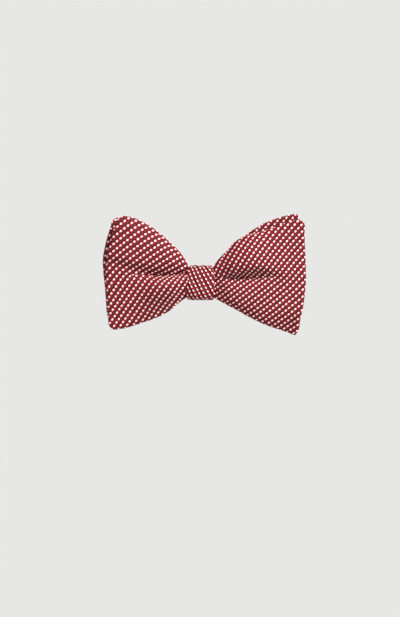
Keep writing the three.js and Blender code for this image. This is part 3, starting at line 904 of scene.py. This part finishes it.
def add_knot(weave):
    """The wrap: a sleeve round X with rolled edges and soft gathers along its ribs."""
    low, high = LOW["knot_wrap"], HIGH["knot_wrap"]
    half_z, half_y = (high[2] - low[2]) / 2, (high[1] - low[1]) / 2
    centre_y = (low[1] + high[1]) / 2
    width = high[0] - low[0]
    ring, outward, at, length = knot_ring(half_y, half_z, centre_y)
    section = knot_section(width)
    offset, depth = section[None, :, 0], section[None, :, 1]
    front = np.clip(-(ring[:, :1] - centre_y) / half_y, 0, 1)
    height = ring[:, 1:] / half_z
    outer = smoothstep(-1.5 * KNOT_WALL, -0.4 * KNOT_WALL, depth)
    climb = np.where(at > length / 2, at - length, at)[:, None]
    v = knot_cells(offset, climb + 0 * offset)[1]
    crown = -0.75 * (offset / (width / 2)) ** 2 * front
    folds = 0.2 * np.sin(math.pi * v) * (0.4 + 0.6 * front)
    radial = depth + (crown + folds + 0.7 * rib_relief(v)) * outer
    pinch = np.where(height > 0, KNOT_PINCH_TOP, KNOT_PINCH_BOTTOM) * height**2
    points = np.zeros((len(ring), len(section), 3))
    points[..., 0] = (low[0] + high[0]) / 2 + offset * (1 - pinch)
    points[..., 1] = ring[:, :1] + outward[:, :1] * radial
    points[..., 2] = ring[:, 1:] + outward[:, 1:] * radial

    # The grid closes both ways round. The weave's seam is at the middle of the wrap's back.
    quads = grid_faces(*points.shape[:2], wrap=True, close=True)
    climbs = np.broadcast_to(climb, points.shape[:2]).ravel()[quads]
    behind = np.abs(climbs).max(axis=1, keepdims=True) > length / 4
    climbs = np.where(behind & (climbs < 0), climbs + length, climbs)
    offsets = np.broadcast_to(offset, points.shape[:2]).ravel()[quads]
    uv = np.stack(knot_cells(offsets, climbs), -1).reshape(-1, 2)
    knot = make_mesh("knot", points.reshape(-1, 3), quads.tolist(), uv)
    weld(knot)
    knot.data.materials.append(weave)
    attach(knot, "bow")
    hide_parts("knot_wrap", "knot_interlining")


# ---- neckband

STRAP_STEP = 0.45
BIAS_ANGLE = 45.0
# The ribs are pressed flatter between these distances from the strap's edges.
PRESSED = (1.4, 0.3)


def arc(x, y, radius, start, stop, steps):
    angle = np.radians(np.linspace(start, stop, steps + 1))
    return np.stack([x + radius * np.cos(angle), y + radius * np.sin(angle)], -1)


def resample(route):
    """The route with even steps, and the running length at each of its points."""
    run = np.concatenate([[0], np.cumsum(lengths(route))])
    count = max(int(run[-1] / STRAP_STEP), 2)
    at = np.linspace(0, run[-1], count + 1)
    return np.stack([np.interp(at, run, route[:, i]) for i in (0, 1)], -1), at


def strap_section(height, thickness):
    """A flat section with round edges: (depth, height) from the strap's middle."""
    half, edge = height / 2, thickness / 2
    flat = np.linspace(-half + edge, half - edge, 30)
    turn = np.linspace(0, math.pi, 7)[1:-1]
    round_depth = edge * np.cos(turn)
    round_height = edge * np.sin(turn)
    return np.concatenate([
        np.stack([0 * flat + edge, flat], -1),
        np.stack([round_depth, half - edge + round_height], -1),
        np.stack([0 * flat - edge, flat[::-1]], -1),
        np.stack([-round_depth, -half + edge - round_height], -1),
    ])


def make_strap(name, route, height, thickness, shift=0.0):
    """A flat strap along a route in plan, with round edges and the weave on the bias. shift
    moves the weave along it."""
    route, run = resample(route)
    tangent = np.gradient(route, axis=0)
    tangent /= np.linalg.norm(tangent, axis=1, keepdims=True)
    side = np.stack([-tangent[:, 1], tangent[:, 0]], -1)
    section = strap_section(height, thickness)
    depth, z = section[:, 0], section[:, 1]
    around = np.concatenate([[0], np.cumsum(lengths(section))])
    points = np.zeros((len(route), len(section), 3))
    points[..., :2] = route[:, None] + side[:, None] * depth[None, :, None]
    points[..., 2] = z[None]
    u, v = turned_weave(run[:, None] + shift, around[None] + 0 * run[:, None], BIAS_ANGLE)
    normal = grid_normals(points)
    middle = np.concatenate([route, 0 * route[:, :1]], -1)[:, None]
    flip = np.sign((normal * (points - middle)).sum())
    inner, outer = (height / 2 - distance for distance in PRESSED)
    relief = 1 - 0.8 * smoothstep(inner, outer, np.abs(z))
    points = points + normal * flip * (0.5 * rib_relief(v) * relief)[..., None]
    quads = grid_faces(*points.shape[:2], wrap=True)
    uv = np.stack([u, v], -1).reshape(-1, 2)[quads].reshape(-1, 2)
    strap = make_mesh(name, points.reshape(-1, 3), quads.tolist(), uv)
    weld(strap)
    return strap


def add_band(weave):
    """The band's two soft parts: round the nape to the eye, and along the right side."""
    front, left, right = "neckband_front", "neckband_left", "neckband_right"
    thickness = HIGH[right][0] - LOW[right][0]
    height = HIGH[right][2] - LOW[right][2]
    half = HIGH[front][0] - thickness / 2
    front_y = LOW[front][1] + thickness / 2
    rear_y = HIGH[left][1] - thickness / 2
    hinge_y = JOINTS["left_band_swing"]["pos_m"][1] / MM
    eye_x, eye_y = (c / MM for c in JOINTS["eye_tilt"]["pos_m"][:2])
    front_radius = hinge_y - front_y
    rear_radius = rear_y - eye_y
    loop = half - eye_x
    corner, rear_corner = half - front_radius, half - rear_radius
    left_route = np.concatenate([
        [[-0.3, front_y]],
        arc(-corner, hinge_y, front_radius, 270, 180, 40),
        arc(-rear_corner, eye_y, rear_radius, 180, 90, 40),
        arc(rear_corner, eye_y, rear_radius, 90, 0, 40),
        arc(eye_x, eye_y, loop, 0, -180, 16)[1:],
        arc(rear_corner, eye_y, rear_radius - 2 * loop, 6, 22, 8),
    ])
    right_route = np.concatenate([
        [[0.3, front_y]],
        arc(corner, hinge_y, front_radius, 270, 360, 40),
        [[half, HIGH[right][1]]],
    ])
    for body, node, route, side_x in (
        ("left_band", left, left_route, -half),
        ("right_band", right, right_route, half),
    ):
        strap = make_strap(body + "_strap", route, height, thickness)
        strap.data.materials.append(weave)
        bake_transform(strap)
        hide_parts(node, front)


# A turned strap is a little thinner than the band, and its weave is shifted.
LOOP_THICKNESS = 0.95
LOOP_WEAVE_SHIFT = 13.0
# How far the slider's inner leg reaches, and where the hook's outer leg turns in.
SLIDER_LEG = 7.9
HOOK_TURNS_IN = 1.2
HOOK_MEETS_LEG = 4


def add_turned_straps(weave):
    """The strap's looped ends: round the slider's centre bar and round the hook's bar."""
    bar_x, bar_y = (c / MM for c in JOINTS["hook_tilt"]["pos_m"][:2])
    thickness = HIGH["neckband_right"][0] - LOW["neckband_right"][0]
    height = HIGH["neckband_right"][2] - LOW["neckband_right"][2]
    inner = LOW["hook_strap"][0] + thickness / 2
    loop = bar_x - inner
    slider_bar = LOW["slider_strap"][1] + loop + thickness / 2
    slider_route = np.concatenate([
        [[inner, slider_bar + SLIDER_LEG]],
        arc(bar_x, slider_bar, loop, 180, 360, 16),
        [[bar_x + loop, HIGH["slider_strap"][1]]],
    ])
    leg_end = LOW["hook_strap"][1]
    hook_route = np.concatenate([
        [[inner, leg_end]],
        arc(bar_x, bar_y, loop, 180, 0, 16),
        [[bar_x + loop, bar_y - HOOK_TURNS_IN]],
        [[bar_x, bar_y - HOOK_MEETS_LEG], [bar_x, leg_end]],
    ])
    for name, body, node, bar, route in (
        ("slider_loop", "slider", "slider_strap", "slider_frame", slider_route),
        ("hook_loop", "hook_end", "hook_strap", "hook", hook_route),
    ):
        strap = make_strap(name, route, height, thickness * LOOP_THICKNESS, LOOP_WEAVE_SHIFT)
        strap.data.materials.append(weave)
        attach(strap, body)
        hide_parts(node)


# ---- metal, threads and label

METAL_EDGE = 0.22
METAL_FLAT_WITHIN = math.radians(2)
METAL_EDGE_FROM = math.radians(25)


def add_metal(metal):
    """The metal parts, from the CAD's shapes, with rounded edges."""
    for name, body in (("slider_frame", "slider"), ("hook", "hook"), ("eye", "eye")):
        mesh = frame["nodes"][name].data.copy()
        mesh.materials.clear()
        shape = bmesh.new()
        shape.from_mesh(mesh)
        bmesh.ops.remove_doubles(shape, verts=shape.verts, dist=1e-6)
        bmesh.ops.dissolve_limit(
            shape, angle_limit=METAL_FLAT_WITHIN, verts=shape.verts, edges=shape.edges)
        shape.to_mesh(mesh)
        shape.free()
        mesh.materials.append(metal)
        mesh.polygons.foreach_set("use_smooth", [True] * len(mesh.polygons))
        obj = add_object(name + "_plated", mesh)
        bevel = obj.modifiers.new("edges", "BEVEL")
        bevel.width, bevel.segments, bevel.limit_method = METAL_EDGE * MM, 3, "ANGLE"
        bevel.angle_limit = METAL_EDGE_FROM
        weighted = obj.modifiers.new("normals", "WEIGHTED_NORMAL")
        weighted.keep_sharp = True
        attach(obj, body)
        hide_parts(name)


def make_thread(name, points, diameter, material):
    curve = bpy.data.curves.new(name, "CURVE")
    curve.dimensions = "3D"
    curve.bevel_depth = diameter / 2 * MM
    curve.bevel_resolution = 3
    curve.resolution_u = 6
    curve.use_fill_caps = True
    line = curve.splines.new("BEZIER")
    line.bezier_points.add(len(points) - 1)
    for handle, point in zip(line.bezier_points, points):
        handle.co = [c * MM for c in point]
        handle.handle_left_type = handle.handle_right_type = "AUTO"
    curve.materials.append(material)
    return add_object(name, curve)


# The threads' diameters, the tacks' teeth, and the closing stitch's points, its half width
# and its lifts off the wrap.
TACK_THREAD = 0.34
STITCH_THREAD = 0.36
WINDING_THREAD = 0.4
TACK_TEETH = 14
STITCH_POINTS = 17
STITCH_HALF = 0.45
STITCH_LIFT = 0.2
STITCH_LOOP = 0.35
# The winding's turns round the waist, its points, its squareness and its inset.
WINDING_TURNS = 4
WINDING_POINTS = 96
WINDING_POWER = 4
WINDING_INSET = 0.3


def tack(node, slant, shift_x, shift_y):
    """A zigzag up a tack's box, moved off it. With slant 1 it goes between two corners of the
    box's plan, and with 0 between the middles of two sides."""
    low, high = LOW[node], HIGH[node]
    middle, aside = (low[0] + high[0]) / 2, slant * (high[0] - low[0]) / 2
    points = []
    for i in range(2 * TACK_TEETH + 1):
        x, y = (middle + aside, low[1]) if i % 2 else (middle - aside, high[1])
        z = low[2] + (high[2] - low[2]) * i / (2 * TACK_TEETH)
        points.append((x + shift_x, y + shift_y, z))
    return points


def closing_stitch():
    low, high = LOW["knot_closing_stitch"], HIGH["knot_closing_stitch"]
    z = high[2] + STITCH_LIFT
    y = (low[1] + high[1]) / 2
    points = []
    for i, x in enumerate(np.linspace(low[0], high[0], STITCH_POINTS)):
        aside = STITCH_HALF if i % 2 else -STITCH_HALF
        points.append((x, y + aside, z + (0.0 if i % 4 else STITCH_LOOP)))
    return points


def waist_winding():
    low, high = LOW["waist_thread"], HIGH["waist_thread"]
    whole = 2 * math.pi * WINDING_TURNS
    points = []
    for angle in np.linspace(0, whole, WINDING_POINTS, endpoint=False):
        c, s = math.cos(angle), math.sin(angle)
        radial = (abs(c) ** WINDING_POWER + abs(s) ** WINDING_POWER) ** (-1 / WINDING_POWER)
        x = low[0] + WINDING_INSET + (high[0] - low[0] - 2 * WINDING_INSET) * angle / whole
        y = (low[1] + high[1]) / 2 + (high[1] - low[1] - 2 * WINDING_INSET) / 2 * c * radial
        z = (high[2] - WINDING_INSET) * s * radial
        points.append((x, y, z))
    return points


def add_threads(thread):
    slider_tack = tack("slider_bar_tack", 0, -0.35, 0)
    eye_tack = tack("eye_bar_tack", 1, -0.42, -0.1)
    for name, body, node, points, diameter in (
        ("slider_tack_thread", "slider", "slider_bar_tack", slider_tack, TACK_THREAD),
        ("eye_tack_thread", "left_band", "eye_bar_tack", eye_tack, TACK_THREAD),
        ("knot_stitches", "bow", "knot_closing_stitch", closing_stitch(), STITCH_THREAD),
        ("waist_winding", "bow", "waist_thread", waist_winding(), WINDING_THREAD),
    ):
        obj = make_thread(name, points, diameter, thread)
        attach(obj, body)
        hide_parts(node)


# The label's grid, how far its faces lie from its box's near side, its lift and its ripple.
LABEL_GRID = (40, 20)
LABEL_FACE = 0.3
LABEL_BACK = 0.2
LABEL_LIFT = 0.25
LABEL_RIPPLE = 0.05


def grid_border(rows, columns):
    """The grid's border points in order, by their index."""
    last_row, last_column = rows - 1, columns - 1
    places = [(i, 0) for i in range(rows)]
    places += [(last_row, j) for j in range(1, columns)]
    places += [(i, last_column) for i in range(last_row - 1, -1, -1)]
    places += [(0, j) for j in range(last_column - 1, 0, -1)]
    return [i * columns + j for i, j in places]


def add_label():
    low, high = LOW["blank_label"], HIGH["blank_label"]
    rows, columns = LABEL_GRID
    ys, zs = np.linspace(low[1], high[1], rows), np.linspace(low[2], high[2], columns)
    y, z = np.meshgrid(ys, zs, indexing="ij")
    lift = LABEL_LIFT * np.sin(math.pi * (y - low[1]) / (high[1] - low[1])) ** 2
    ripple = LABEL_RIPPLE * np.sin(y * 0.9) * np.cos(z * 0.5)
    top = np.stack([low[0] + LABEL_FACE + lift + ripple, y, z], -1)
    bottom = np.stack([low[0] - LABEL_BACK + lift + ripple, y, z], -1)
    points = np.concatenate([top.reshape(-1, 3), bottom.reshape(-1, 3)])
    under = rows * columns
    ids = grid_border(rows, columns)
    rim = [(a, b, b + under, a + under) for a, b in zip(ids, ids[1:] + ids[:1])]
    faces = np.concatenate([
        grid_faces(rows, columns),
        grid_faces(rows, columns, under, flip=True),
        np.array(rim),
    ])
    flat = np.stack([y - (low[1] + high[1]) / 2, z - (low[2] + high[2]) / 2], -1)
    flat = np.tile(flat.reshape(-1, 2), (2, 1))
    uv = flat[faces].reshape(-1, 2)
    obj = make_mesh("label_cloth", points, faces.tolist(), uv)
    weld(obj)
    obj.data.materials.append(label_material((high[1] - low[1]) / 2, (high[2] - low[2]) / 2))
    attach(obj, "left_band")
    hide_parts("blank_label")


add_camera()
add_stage()
weave = weave_material("dotted_rib_weave", DOT_HALF)
add_bows(weave)
add_knot(weave_material("gathered_rib_weave", KNOT_DOT_HALF))
add_band(weave)
add_turned_straps(weave)
add_metal(metal_material())
add_threads(thread_material("crimson_thread"))
add_label()
